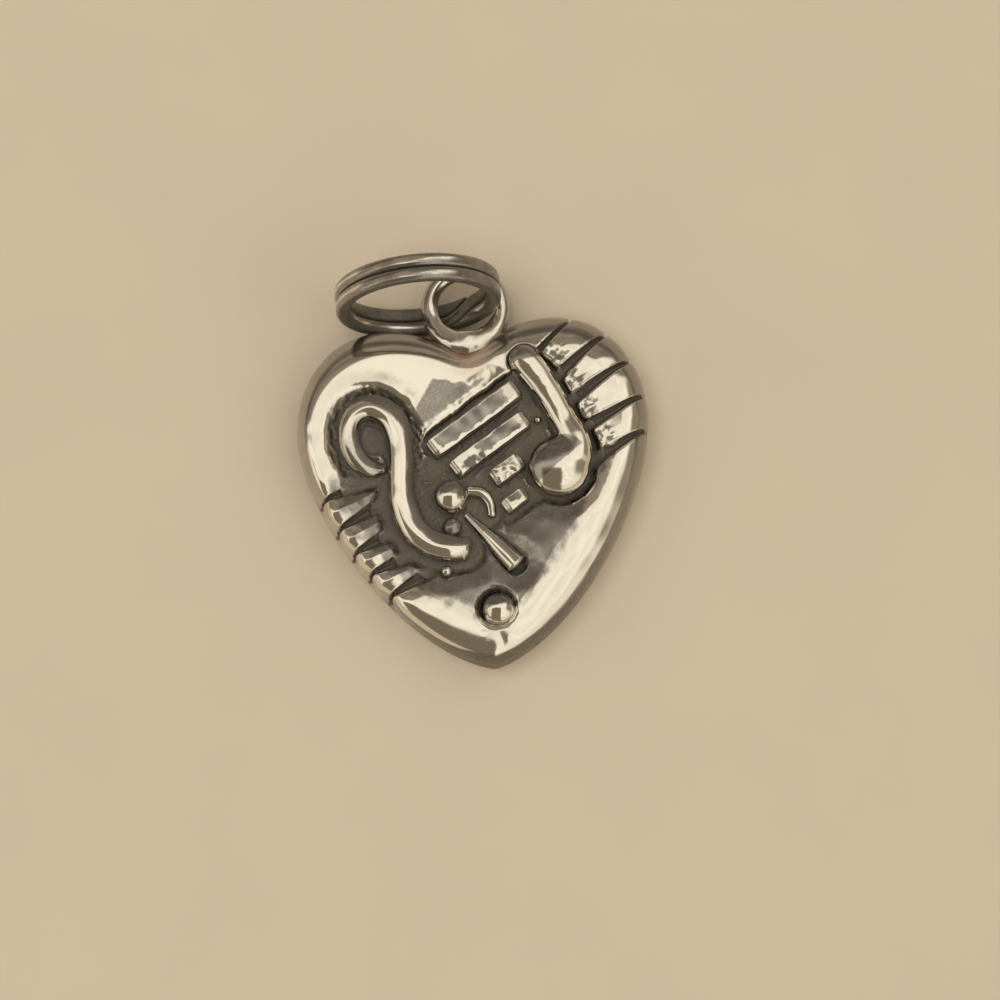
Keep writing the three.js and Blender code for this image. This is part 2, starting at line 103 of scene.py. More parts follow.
def closedTube(name, rings, **marks):  # joins the last ring to the first, so that the tube has no ends
    rows, sides = rings.shape[:2]
    row, side = np.meshgrid(np.arange(rows), np.arange(sides), indexing="ij")
    here, ahead = row * sides, (row + 1) % rows * sides
    nextSide = (side + 1) % sides
    quads = np.stack([here + side, ahead + side, ahead + nextSide, here + nextSide], -1).reshape(-1, 4)
    mesh = bpy.data.meshes.new(name)
    mesh.from_pydata((rings.reshape(-1, 3) * millimetre).tolist(), [], quads.tolist())
    for mark, values in marks.items():
        column = values.astype(np.float32).ravel()
        mesh.attributes.new(mark, "FLOAT", "POINT").data.foreach_set("value", column)
    return mesh


def place(name, mesh, node, body, finish):  # puts a finished mesh in the scene in place of its CAD node
    mesh.polygons.foreach_set("use_smooth", np.ones(len(mesh.polygons), bool))
    mesh.validate()
    mesh.materials.append(finish)
    piece = bpy.data.objects.new(name, mesh)
    scene.collection.objects.link(piece)
    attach(piece, body)
    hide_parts(node)
    print("made", name, "with", len(mesh.loops) - 2 * len(mesh.polygons), "triangles")
    return piece


# a round section carried along a path, its radius from the stops, with a rounded cap at each end
def wireRings(wire, seat, capRows=9):
    count, sides = wire["count"], wire["sides"]
    path = smoothPath(wire["stops"], count)
    along = np.gradient(path[:, :2], axis=0)
    along /= np.linalg.norm(along, axis=1, keepdims=True)
    capTurn = np.linspace(math.pi / 2, 0, capRows + 1)[1:]
    capShift, capSize = -np.sin(capTurn), np.cos(capTurn)
    station = np.concatenate([np.zeros(capRows, int), np.arange(count), np.full(capRows, count - 1)])
    shift = np.concatenate([capShift, np.zeros(count), -capShift[::-1]]) * wire["bluntness"]
    size = np.concatenate([capSize, np.ones(count), capSize[::-1]])
    radius = path[station, 2]
    middle = path[station, :2] + along[station] * (shift * radius)[:, None]
    level = np.full(len(station), seat["floor"]) + seat["rise"] * radius
    axis = np.concatenate([middle, level[:, None]], 1)[:, None]
    turn = np.linspace(0, tau, sides, endpoint=False)
    across = np.stack([-along[station, 1], along[station, 0]], 1)
    upward = np.broadcast_to(np.sin(turn)[:, None], (len(station), sides, 1))
    out = np.concatenate([across[:, None] * np.cos(turn)[:, None], upward], 2)
    reach = out * (radius * size)[:, None, None]
    swell = 1 + wire["uneven"] * ripple(axis + reach, 1.1, wire["seed"])
    return axis + reach * swell[..., None]


# a flattened ball, with its lower part sunk in the solder
def beadRings(bead, floor, uneven, rows=36, sides=72):
    sunk = math.sin(math.radians(35))  # the middle stands this share of the half height above the seat
    rise = bead["height"] / (1 + sunk)
    turn = np.linspace(math.pi / 2, -math.pi / 2, rows + 2)[1:-1, None]
    around = np.linspace(0, tau, sides, endpoint=False)
    out = np.stack(np.broadcast_arrays(np.cos(turn) * np.cos(around), np.cos(turn) * np.sin(around),
                                       np.sin(turn)), 2)
    swell = 1 + uneven * ripple(out * bead["radius"], 1.6 * bead["radius"], bead["seed"])
    centre = np.array([bead["x"], bead["y"], floor + rise * sunk])
    return centre + out * np.array([bead["radius"], bead["radius"], rise]) * swell[..., None]


# Shader maths: a socket that takes Python's operators

class Sock:
    def __init__(self, tree, socket=None):
        self.tree, self.socket = tree, socket

    # adds any node: its settings first, then its sockets' values or links
    def node(self, kind, settings=None, inputs=None, output=0):
        made = self.tree.nodes.new(kind)
        for key, value in (settings or {}).items():
            setattr(made, key, value)
        for key, value in (inputs or {}).items():
            if isinstance(value, Sock):
                self.tree.links.new(value.socket, made.inputs[key])
            else:
                made.inputs[key].default_value = value
        return Sock(self.tree, made.outputs[output] if made.outputs else None)

    def math(self, operation, *values):
        return self.node("ShaderNodeMath", {"operation": operation}, dict(enumerate(values)))

    def vector(self, operation, first, second=None, output=0):  # vector maths; output 1 is a number
        sockets = {0: first} if second is None else {0: first, 1: second}
        return self.node("ShaderNodeVectorMath", {"operation": operation}, sockets, output)

    def noise(self, at, scale, detail, **more):
        return self.node("ShaderNodeTexNoise", None, {"Vector": at, "Scale": scale, "Detail": detail, **more})

    def band(self, low, high, start=0.0, end=1.0):  # an S-curve from start to end between low and high
        return self.node("ShaderNodeMapRange", {"interpolation_type": "SMOOTHSTEP"},
                         {0: self, 1: low, 2: high, 3: start, 4: end})

    def mix(self, first, second):  # the first colour where this is 0, the second where it is 1
        return self.node("ShaderNodeMix", {"data_type": "RGBA"}, {0: self, 6: first, 7: second}, 2)

    def __add__(self, other): return self.math("ADD", self, other)
    def __sub__(self, other): return self.math("SUBTRACT", self, other)
    def __mul__(self, other): return self.math("MULTIPLY", self, other)
    def __truediv__(self, other): return self.math("DIVIDE", self, other)
    def __radd__(self, other): return self.math("ADD", other, self)
    def __rsub__(self, other): return self.math("SUBTRACT", other, self)
    def __rmul__(self, other): return self.math("MULTIPLY", other, self)
    def __rtruediv__(self, other): return self.math("DIVIDE", other, self)
    def clamp(self): return self.node("ShaderNodeClamp", None, {0: self})
    def largest(self, other): return self.math("MAXIMUM", self, other)


def colour(red, green, blue):
    return (red, green, blue, 1.0)


def shade(tone, share):  # a darker or lighter colour of the same hue
    return colour(*(share * part for part in tone[:3]))


# Silver, with dark patina where it is sheltered, and painted shade laid on in the same colours

silverLook = {
    "bright": colour(0.86, 0.825, 0.75),
    # the film colour serves both as a patina film and as painted shade
    "filmAndShade": colour(0.385, 0.365, 0.345),
    "dark": colour(0.185, 0.162, 0.118),
    "darkTint": colour(0.160, 0.144, 0.132),
    "copper": colour(0.68, 0.465, 0.315),
    "brightRoughness": 0.11, "darkRoughness": 0.42, "roughChatter": 0.22, "roughFilm": 0.08,
    "hairDepth": 0.0010, "speckDepth": 0.0003, "chatterDepth": (0.006, 0.002), "crustDepth": (0.002, 0.004),
    "hairTurn": (0.2, 0.1, 0.6), "hairStretch": (46, 2.4, 9),
}


# patina (a mask of patina and painted shade), rough and flush are functions that give a mask from the start
# socket, the place and two noises
def silver(name, patinaAndShadeMask=None, rough=None, flush=None, scratches=0.35, smear=0.10):
    look = silverLook
    material = bpy.data.materials.new(name)
    material.use_nodes = True
    tree = material.node_tree
    tree.nodes.clear()
    start = Sock(tree)
    where = start.node("ShaderNodeTexCoord", None, None, 3)
    spot = start.node("ShaderNodeMapping", None, {0: where, 3: (1000, 1000, 1000)})  # in millimetres
    cloud = start.noise(spot, 2.2, 6.0, Roughness=0.62)
    grain = start.noise(spot, 14.0, 4.0, Roughness=0.6)
    speck = start.noise(spot, 55.0, 3.0)
    stretched = start.node("ShaderNodeMapping", None, {0: spot, 2: look["hairTurn"], 3: look["hairStretch"]})
    hair = start.noise(stretched, 1.0, 5.0, Roughness=0.7, Distortion=0.4)
    shelter = patinaAndShadeMask(start, spot, cloud, grain) if patinaAndShadeMask else cloud * 0
    chatter = rough(start, spot, cloud, grain) if rough else cloud * 0
    copper = flush(start, spot, cloud, grain) if flush else cloud * 0
    mottle = (grain - 0.5) * shelter * (1 - shelter) * (0.9 + chatter * 2.4)
    tarnishAndShade = (shelter + mottle + (cloud - 0.5) * smear).clamp()
    worn = chatter * grain.band(0.40, 0.62)
    sparkle = grain.band(0.64, 0.70) * speck.band(0.45, 0.60)  # worn spots that shine through
    filmShare = tarnishAndShade.band(0.03, 0.50)
    darkShare = (tarnishAndShade.band(0.42, 0.86) * (1 - 0.55 * worn) * (1 - 0.7 * sparkle)).clamp()
    tone = filmShare.mix(look["bright"], look["filmAndShade"])
    tone = darkShare.mix(tone, cloud.band(0.42, 0.62).mix(look["dark"], look["darkTint"]))
    tone = copper.mix(tone, look["copper"])
    roughness = (look["brightRoughness"] + (cloud - 0.5) * 0.10 + (hair - 0.5) * 0.05
                 + chatter * look["roughChatter"] + filmShare * look["roughFilm"])
    roughness = (roughness + darkShare * (look["darkRoughness"] - look["brightRoughness"])).largest(0.05)
    grainDepth, speckDepth = look["chatterDepth"]
    crust, roughCrust = look["crustDepth"]
    height = (hair * scratches * look["hairDepth"] + speck * look["speckDepth"]
              + chatter * (grain * grainDepth + speck * speckDepth)
              + darkShare * grain * (crust + chatter * roughCrust))
    bump = start.node("ShaderNodeBump", None, {"Strength": 1.0, "Distance": millimetre, "Height": height})
    metallic = (1 - darkShare * 0.55) * (1 - 0.75 * copper)
    shader = start.node("ShaderNodeBsdfPrincipled", None, {
        "Base Color": tone, "Metallic": metallic, "Roughness": roughness, "Normal": bump})
    start.node("ShaderNodeOutputMaterial", None, {0: shader})
    return material


def marked(attribute):  # a mask that is stored on the piece's own points
    def mask(start, spot, cloud, grain):
        return start.node("ShaderNodeAttribute", {"attribute_name": attribute}, None, 2)
    return mask


markPatinaAndShade = marked("shelter")  # where patina stays, and where shade is painted in the same colours
markRough = marked("chatter")  # where the graver and the punch left a rough surface


# dark at the seat, a film on the flanks and bright on top, by share of the piece's height
def lowPatina(floor, height, filmAndShade=0.30):
    def mask(start, spot, cloud, grain):
        level = start.node("ShaderNodeSeparateXYZ", None, {0: spot}, 2)
        share = (level - floor) / height + (cloud - 0.5) * 0.25
        return share.band(0.12, 0.40, 1.0, 0.0).largest(share.band(0.70, 0.92, filmAndShade, 0.0))
    return mask


# paints shade in the film colour on the side of a ball or wire end that lies ahead of a point along a heading,
# the side that mirrors the dim surroundings
def paintedShadeSides(base, patches):
    def mask(start, spot, cloud, grain):
        value = base(start, spot, cloud, grain)
        for x, y, headingX, headingY, reach, filmAndShade in patches:
            flat = start.vector("MULTIPLY", start.vector("SUBTRACT", spot, (x, y, 0)), (1, 1, 0))
            ahead = start.vector("DOT_PRODUCT", flat, (headingX, headingY, 0), 1) + (cloud - 0.5) * 0.14
            near = start.vector("LENGTH", flat, None, 1).band(reach, reach + 0.08, filmAndShade, 0.0)
            value = value.largest(ahead.band(-0.04, 0.05) * near)
        return value
    return mask


def shadedFlank(base):  # adds the painted shade that is marked on the piece itself
    def mask(start, spot, cloud, grain):
        return base(start, spot, cloud, grain).largest(markPatinaAndShade(start, spot, cloud, grain))
    return mask


# Ornaments on the front: x, y and radius along each wire, and the beads

wireSeat = {"floor": 2.08, "rise": 0.766}
scrollWire = {
    "stops": [(-3.45, 0.88, 0.12), (-3.85, 0.88, 0.22), (-4.3, 1.14, 0.3), (-4.6, 1.72, 0.34),
              (-4.62, 2.45, 0.36), (-4.32, 3.02, 0.38), (-3.7, 3.2, 0.4), (-3.08, 2.78, 0.42),
              (-2.8, 2.0, 0.44), (-2.78, 1.15, 0.45), (-2.86, 0.25, 0.45), (-2.88, -0.5, 0.45),
              (-2.62, -1.47, 0.44), (-2.02, -2.1, 0.43), (-1.36, -2.36, 0.42), (-0.78, -2.40, 0.37)],
    "margin": 0.52, "count": 260, "sides": 48, "uneven": 0.010, "seed": 11, "bluntness": 0.75,
    "flankHeading": (0.66, 0.75, 0), "flankShade": 0.72, "flankReach": 0.16,
}
noteWire = {
    "stops": [(2.10, 4.50, 0.58), (2.48, 3.95, 0.56), (2.80, 3.36, 0.53), (3.09, 2.75, 0.51),
              (3.38, 2.02, 0.51), (3.66, 1.38, 0.56), (3.74, 0.80, 0.58), (3.58, 0.32, 0.52)],
    "margin": 0.24, "count": 140, "sides": 48, "uneven": 0.010, "seed": 21, "bluntness": 1.0,
    "voxel": 0.035, "smoothing": 90, "topMargin": -0.01,
}
flagWire = {
    "stops": [(-0.38, -0.2, 0.19), (0.05, -0.3, 0.21), (0.34, -0.68, 0.20), (0.38, -1.15, 0.16)],
    "margin": 0.36, "count": 60, "sides": 28, "uneven": 0.02, "seed": 31, "bluntness": 0.8,
}
stemWire = {
    "stops": [(-0.56, -1.08, 0.14), (0.28, -2.1, 0.28), (1.08, -3.1, 0.37)],
    "margin": 0.05, "count": 90, "sides": 40, "uneven": 0.014, "seed": 41, "bluntness": 0.4,
}
noteHead = {"x": 3.0, "y": 0.36, "radius": 1.14, "height": 1.17, "margin": 0.26, "seed": 51}
smallHead = {"x": -1.08, "y": -0.41, "radius": 0.64, "height": 1.05, "margin": 0.42, "seed": 61}
smallDot = {"x": -1.13, "y": -1.52, "radius": 0.37, "height": 0.5, "margin": 0.34, "seed": 71}
tipBead = {"x": 0.31, "y": -4.72, "radius": 0.63, "height": 0.95, "margin": 0.13, "floor": 1.83, "seed": 81}
granules = [{"x": -1.48, "y": -3.12, "radius": 0.21, "height": 0.36, "seed": 91},
            {"x": 2.4, "y": 2.24, "radius": 0.15, "height": 0.26, "seed": 95}]

# painted shade on the side that mirrors the dim surroundings: a point, a heading, how far the painted shade
# reaches and how thick it is
noteShadeSides = [(3.0, 0.36, -0.6, 0.8, 1.12, 0.45), (2.20, 4.42, -0.15, 0.99, 0.8, 0.6)]
headShadeSides = [(-1.08, -0.38, 0.30, 0.95, 0.75, 0.6)]
tipShadeSides = [(0.31, -4.62, 0.10, 0.99, 0.75, 0.5)]
wireWear, beadWear = {"scratches": 0.5, "smear": 0.06}, {"scratches": 0.4, "smear": 0.06}
seatLevel = wireSeat["floor"]
scrollSilver = silver("scrollSilver", shadedFlank(lowPatina(seatLevel, 0.78)), **wireWear)
noteSilver = silver("noteSilver", paintedShadeSides(lowPatina(seatLevel, 0.90, 0.16), noteShadeSides), **wireWear)
flagSilver = silver("flagSilver", lowPatina(seatLevel, 0.30), **wireWear)
stemSilver = silver("stemSilver", lowPatina(seatLevel, 0.55), **wireWear)
headSilver = silver("smallHeadSilver", paintedShadeSides(lowPatina(seatLevel, 1.05, 0.10), headShadeSides), **beadWear)
dotSilver = silver("dimDotSilver", lowPatina(seatLevel, 0.90, 0.56), scratches=0.4)
tipSilver = silver("tipBeadSilver", paintedShadeSides(lowPatina(tipBead["floor"], 0.95, 0.10), tipShadeSides), **beadWear)
grainSilver = silver("granuleSilver", lowPatina(seatLevel, 0.30, 0.10), scratches=0.4)


# the flank that looks along a heading is drawn out that way, and painted shade, in the film colour, is marked
# on it
def drawnFlank(rings, wire):
    heading = np.array(wire["flankHeading"])
    outward = rings - rings.mean(1, keepdims=True)
    outward = outward / np.maximum(np.linalg.norm(outward, axis=2, keepdims=True), 1e-9)
    facing = outward @ heading
    filmAndShade = wire["flankShade"] * smoothStep(0.28, 0.38, facing + 0.04 * ripple(rings, 0.9, wire["seed"] + 1))
    return rings + wire["flankReach"] * smoothStep(0.30, 0.90, facing)[..., None] * heading, filmAndShade


for name, node, wire, finish in [("clefScroll", "clef_scroll", scrollWire, scrollSilver),
                                 ("smallNoteFlag", "small_note_flag", flagWire, flagSilver),
                                 ("smallNoteStem", "small_note_stem", stemWire, stemSilver)]:
    rings, marks = wireRings(wire, wireSeat), {}
    if "flankShade" in wire:
        rings, marks["shelter"] = drawnFlank(rings, wire)
    place(name, skin(name, rings, **marks), node, "heart", finish)

for name, node, bead, finish in [("smallNoteHead", "small_note_head", smallHead, headSilver),
                                 ("smallNoteDot", "small_note_dot", smallDot, dotSilver),
                                 ("tipBead", "tip_bead", tipBead, tipSilver),
                                 ("granule1", "granule_1", granules[0], grainSilver),
                                 ("granule2", "granule_2", granules[1], grainSilver)]:
    rings = beadRings(bead, bead.get("floor", wireSeat["floor"]), 0.012)
    place(name, skin(name, rings), node, "heart", finish)


# overlapping skins run into one, as a balled wire does in the flame
def meltedTogether(name, parts, voxel, smoothing):
    skins = [skinFaces(rings) for rings in parts]
    first = np.cumsum([0] + [len(points) for points, quads, fans in skins])
    faces = [(part + start).tolist() for (points, *both), start in zip(skins, first) for part in both]
    joined = bpy.data.meshes.new(name + "Parts")
    joined.from_pydata(np.concatenate([points for points, quads, fans in skins]).tolist(), [], sum(faces, []))
    holder = bpy.data.objects.new(name + "Parts", joined)
    scene.collection.objects.link(holder)
    remesh = holder.modifiers.new("run together", "REMESH")
    remesh.mode, remesh.voxel_size = "VOXEL", voxel
    smooth = holder.modifiers.new("soften", "SMOOTH")
    smooth.iterations, smooth.factor = smoothing, 0.5
    bpy.context.view_layer.update()
    melted = bpy.data.meshes.new_from_object(holder.evaluated_get(bpy.context.evaluated_depsgraph_get()))
    bpy.data.objects.remove(holder)
    spots = np.empty(len(melted.vertices) * 3, np.float32)
    melted.vertices.foreach_get("co", spots)
    melted.vertices.foreach_set("co", spots * millimetre)
    melted.update()
    melted.name = name
    return melted


noteParts = [wireRings(noteWire, wireSeat), beadRings(noteHead, wireSeat["floor"], 0.006)]
noteMesh = meltedTogether("largeNote", noteParts, noteWire["voxel"], noteWire["smoothing"])
place("largeNote", noteMesh, "large_note", "heart", noteSilver)

# Staff bars: flat bars with chewed edges and hammered faces

staffBar = {
    "angle": 31.5, "height": 0.62, "groove": 0.36, "sunk": 0.10, "seed": 101,
    # share across from the low edge, and height there
    "profile": [(-1.0, -0.12), (-0.92, -0.05), (-0.5, 0.0), (0.8, 0.0), (0.94, 0.0), (1.0, -0.02)],
    "faceRows": 34, "sideRows": 7, "step": 0.04, "endRound": 0.12, "endNarrow": 0.18, "endDrop": 0.16,
    "dents": 0.013, "waves": 0.004, "chewed": 0.03,
    "bars": [{"x": 0.06, "y": 2.42, "length": 4.0, "width": 0.72, "filmAndShade": 0.56, "rough": 0.04,
              "lowEdge": -0.66, "faceFrom": -0.86},
             {"x": 0.55, "y": 1.42, "length": 3.35, "width": 0.66, "filmAndShade": 0.58, "rough": 0.10,
              "lowEdge": -0.60, "faceFrom": -0.36, "blotch": (-0.94, -0.55, 0.42, 0.7)},
             {"x": 1.10, "y": 0.43, "length": 1.30, "width": 0.63, "filmAndShade": 0.30, "rough": 0.9,
              "lowEdge": 0.2, "faceFrom": -0.2},
             {"x": 1.29, "y": -0.76, "length": 1.0, "width": 0.52, "filmAndShade": 0.74, "rough": 0.3,
              "lowEdge": -0.2, "faceFrom": -1.2}],
}
barSilver = silver("barSilver", markPatinaAndShade, markRough, scratches=1.0, smear=0.12)


# a section with a thin lip, a face and a wide bevel carried along the bar and drawn down at both ends
def barRings(bar, seed):
    half, length, top, sunk = bar["width"] / 2, bar["length"], staffBar["height"], staffBar["sunk"]
    faceRows, sideRows = staffBar["faceRows"], staffBar["sideRows"]
    share = np.concatenate([np.full(sideRows, -1), np.linspace(-1, 1, faceRows), np.full(sideRows, 1)])
    onTop = np.concatenate([np.linspace(0, 1, sideRows + 1)[:-1], np.ones(faceRows),
                            np.linspace(1, 0, sideRows + 1)[1:]])
    at = np.linspace(-length / 2, length / 2, int(length / staffBar["step"]))[:, None]
    toEnd = length / 2 - abs(at)
    endTurn = np.sqrt(1 - (1 - np.clip(toEnd / staffBar["endRound"], 0, 1)) ** 2)
    across = share * half * (1 - staffBar["endNarrow"] * (1 - endTurn))
    spots = np.stack(np.broadcast_arrays(at, across), 2)
    drawnDown = staffBar["endDrop"] * smoothStep(0.24, 0.0, toEnd) ** 1.5
    height = top + np.interp(share, *np.array(staffBar["profile"]).T) - drawnDown
    height = (height + bar["rough"] * staffBar["dents"] * ripple(spots, 0.38, seed + 4)
              + staffBar["waves"] * ripple(spots, 0.9, seed + 5))
    level = -sunk + (height + sunk) * onTop
    edgeSpots = np.stack(np.broadcast_arrays(at, np.sign(across) * 3 + level * 0.3), 2)
    chewed = staffBar["chewed"] * ripple(edgeSpots, 0.6, seed + 1) * smoothStep(0.1, 0.5, level)
    across = across * (1 + chewed)
    ragged = 0.09 * ripple(spots, 0.7, seed + 2) + 0.035 * ripple(spots, 0.2, seed + 3)
    ends = np.maximum(smoothStep(0.30, 0.18, toEnd + 0.25 * ragged),
                      smoothStep(0.14, 0.10, 0.5 - at / length + 0.12 * ragged))
    face = (smoothStep(bar["lowEdge"], bar["lowEdge"] + 0.16, share + ragged)
            * smoothStep(0.90, 0.78, share + 0.4 * ragged))
    alongShare = 2 * at / length + 0.3 * ragged
    face = face * (1 - ends) * smoothStep(bar["faceFrom"], bar["faceFrom"] + 0.08, alongShare)
    filmAndShade = bar["filmAndShade"] * face * (1 + 0.12 * ripple(spots, 0.6, seed + 6))
    shelter = np.maximum(smoothStep(0.42, 0.15, level), filmAndShade)
    if "blotch" in bar:  # a patch of patina: its place along and across the bar, and its half sizes
        alongAt, acrossAt, longHalf, wideHalf = bar["blotch"]
        away = np.hypot((at - alongAt) / longHalf, (share - acrossAt) / wideHalf)
        shelter = np.maximum(shelter, 0.75 * smoothStep(1.1, 0.7, away + 2.5 * ragged))
    chatter = np.maximum(0.6 * ends, bar["rough"] * (0.4 + 0.6 * face))
    return np.stack(np.broadcast_arrays(at, across, level), 2), shelter, chatter


barTurn = math.radians(staffBar["angle"])
alongStaff = np.array([math.cos(barTurn), math.sin(barTurn)])
acrossStaff = np.array([-math.sin(barTurn), math.cos(barTurn)])
for k, bar in enumerate(staffBar["bars"], 1):
    rings, shelter, chatter = barRings(bar, staffBar["seed"] + 7 * k)
    spun = rings @ np.array([[*alongStaff, 0], [*acrossStaff, 0], [0, 0, 1]])
    spun = spun + np.array([bar["x"], bar["y"], wireSeat["floor"]])
    mesh = skin(f"staffBar{k}", spun, shelter=shelter, chatter=chatter)
    place(f"staffBar{k}", mesh, f"staff_bar_{k}", "heart", barSilver)

# Heart: the domed front with its trenches and grooves, and the back plate

heart = {
    "middle": (0.0, 0.6),
    "rightHalf": [[(0, 5.25), (0.55, 5.25), (1.2, 6.3), (3.2, 6.3)],
                  [(3.2, 6.3), (5.1, 6.3), (6.55, 4.6), (6.55, 2.4)],
                  [(6.55, 2.4), (6.55, -0.6), (3.2, -5.95), (0, -6.7)]],
    "seam": 0.53, "seamInset": 0.1, "edge": 1.15, "wall": 0.8, "ceiling": 1.3,
    "dish": 2.27, "dishPower": 2.0, "crest": 2.50, "crestLean": 0.07, "wave": 0.007,
    # direction from the middle, how far in the crest lies there, how square the shoulder is,
    # and the width and darkness of the painted shade along the edge
    "shoulder": [(-180, 0.60, 2.4, 0.34, 0.34), (-168, 0.56, 2.8, 0.18, 0.26), (-150, 0.62, 3.2, 0.08, 0.22),
                 (-135, 0.70, 3.8, 0.06, 0.28), (-125, 0.8, 4.2, 0.06, 0.50), (-116, 1.1, 4.2, 0.06, 0.66),
                 (-104, 1.42, 4.2, 0.08, 0.74), (-94, 1.54, 4.2, 0.24, 0.80), (-80, 1.45, 3.4, 0.26, 0.78),
                 (-70, 1.72, 3.3, 0.24, 0.74), (-56, 1.8, 3.1, 0.24, 0.70), (-36, 1.6, 2.9, 0.28, 0.62),
                 (-17, 1.38, 2.6, 0.34, 0.56), (0, 1.2, 2.4, 0.42, 0.52), (16, 1.05, 2.2, 0.46, 0.50),
                 (30, 1.15, 2.0, 0.58, 0.50), (50, 1.5, 2.0, 0.85, 0.50), (62, 1.6, 2.0, 0.95, 0.50),
                 (74, 1.4, 2.0, 0.85, 0.48), (90, 0.98, 2.0, 0.55, 0.46), (104, 1.27, 2.0, 0.8, 0.46),
                 (118, 1.41, 2.0, 0.85, 0.46), (132, 1.17, 2.0, 0.7, 0.44), (148, 0.76, 2.0, 0.5, 0.40),
                 (160, 0.6, 2.1, 0.42, 0.36), (180, 0.60, 2.4, 0.34, 0.34)],
    "columns": 660, "soften": 7, "creaseSoften": 10, "crownRows": 82, "shoulderRows": 46, "sideRows": 16,
}
trenchCut = {
    "floor": 2.05, "slope": (-0.24, 0.10), "curlSlope": -0.22, "pillow": 0.10, "lobePillow": 0.03,
    "pillowReach": 0.7, "curlMiddle": (-3.75, 2.0),
    # middle and radius of other places at the trench's level
    "sunk": [(-0.55, -0.85, 1.35), (-3.80, 2.0, 0.80), (-1.5, -3.1, 0.34), (1.75, 1.1, 0.8), (2.0, -0.5, 0.5),
             (0.6, 0.15, 0.75), (-1.75, 0.8, 0.65), (2.2, 2.25, 0.70), (-1.95, -0.75, 0.6), (1.95, 2.9, 0.42),
             (2.35, 1.6, 0.5), (1.95, 3.4, 0.42), (1.2, -0.15, 0.55), (-1.9, -0.1, 0.5), (-4.55, 0.55, 0.42)],
}
beadPit = {"floor": 1.86, "slope": (-0.40, 0.08), "offset": (-0.09, 0.04)}
staffGroove = {
    # inner end, angle of the outer end, half width at the inner end
    "lines": [(-3.45, 0.75, -172.8, 0.30), (-3.2, -0.2, -161.2, 0.36), (-3.0, -1.35, -150.2, 0.38),
              (-2.45, -2.25, -140.5, 0.38), (-1.9, -2.98, -129.6, 0.34), (2.75, 4.9, 54.0, 0.14),
              (3.30, 3.83, 42.5, 0.28), (3.76, 2.92, 31.2, 0.30), (4.25, 1.85, 19.6, 0.28),
              (4.15, 0.5, 8.4, 0.38)],
    "rimHalf": 0.085, "overrun": 0.30, "depth": 0.30, "runOut": 0.52,
    "leftPillow": 0.15, "rightPillow": 0.025, "pillowHalf": 0.40,
}
facetCut = {  # a flat scraped place above the staff: its edges, and where it fades out to the right
    "staffSide": (2.98, 3.10), "top": 3.84, "topRise": 0.26, "topMiddle": -0.05,
    "left": -2.05, "leftLean": 0.7, "leftFrom": 3.13, "fade": (2.1, 1.1),
}
heartMarks = {
    "field": 0.47, "fieldBlotch": 0.18, "fieldEdge": 0.08, "facet": 0.42, "noteTop": 0.36, "groove": 0.9,
    "pit": 0.8, "ribEnds": 0.62, "seam": 0.75, "trenchSlope": 0.42, "mottled": 0.28,
    "noteTopAt": (2.05, 4.75), "tipStreaksAt": (0.25, -5.72), "streak": 0.014, "ribEndDents": 0.008,
}


# the outline's Bezier curves, read at even steps that are closer where the grooves cross the edge
def heartRim(columns):
    share = np.linspace(0, 1, 400)[:, None]
    rest = 1 - share
    right = np.concatenate([
        rest ** 3 * a + 3 * share * rest ** 2 * b + 3 * share ** 2 * rest * c + share ** 3 * d
        for a, b, c, d in np.array(heart["rightHalf"], float)])
    rim = np.concatenate([right * (-1, 1), right[::-1]])
    rim = rim[np.concatenate([[True], np.linalg.norm(np.diff(rim, axis=0), axis=1) > 1e-9])]
    angle = np.degrees(np.arctan2(rim[:, 1] - heart["middle"][1], rim[:, 0]))
    near = np.min(abs(angle[:, None] - np.array([line[2] for line in staffGroove["lines"]])), 1)
    step = np.linalg.norm(np.diff(rim, axis=0), axis=1) * (1 + 1.2 * (near[1:] < 7))
    run = np.concatenate([[0], step.cumsum()])
    even = np.linspace(0, run[-1], columns, endpoint=False)
    return np.stack([np.interp(even, run, rim[:, 0]), np.interp(even, run, rim[:, 1])], 1)


def pathGap(spots, wire):  # distance in plan to a wire's trench edge
    path = smoothPath(wire["stops"], 70)
    margin = np.full(len(path), wire["margin"])
    if "topMargin" in wire:  # the trench closes in round the wire's upper end
        upper = smoothStep(0.22, 0.0, np.linspace(0, 1, len(path)))
        margin += (wire["topMargin"] - wire["margin"]) * upper
    return (np.linalg.norm(spots[..., None, :] - path[:, :2], axis=-1) - path[:, 2] - margin).min(-1)


def discGap(spots, x, y, radius=0):  # distance in plan to the edge of a disc, or to a point
    return np.linalg.norm(spots - np.array([x, y]), axis=-1) - radius


def barGap(spots, bar):  # distance in plan to the edge of the box-shaped trench round a bar
    away = spots - np.array([bar["x"], bar["y"]])
    along = abs(away @ alongStaff) - bar["length"] / 2 - staffBar["groove"]
    aside = abs(away @ acrossStaff) - bar["width"] / 2 - staffBar["groove"]
    return np.hypot(np.maximum(along, 0), np.maximum(aside, 0)) + np.minimum(np.maximum(along, aside), 0)


def trenchGap(spots):  # distance in plan to the nearest trench's edge, a little uneven
    wires = [pathGap(spots, wire) for wire in (scrollWire, noteWire, flagWire, stemWire)]
    beads = [discGap(spots, bead["x"], bead["y"], bead["radius"] + bead["margin"])
             for bead in (noteHead, smallHead, smallDot)]
    discs = [discGap(spots, *disc) for disc in trenchCut["sunk"]]
    bars = [barGap(spots, bar) for bar in staffBar["bars"]]
    gap = np.minimum.reduce(wires + beads + discs + bars)
    return gap + 0.012 * ripple(spots, 0.7, 201) + 0.005 * ripple(spots, 0.25, 202)


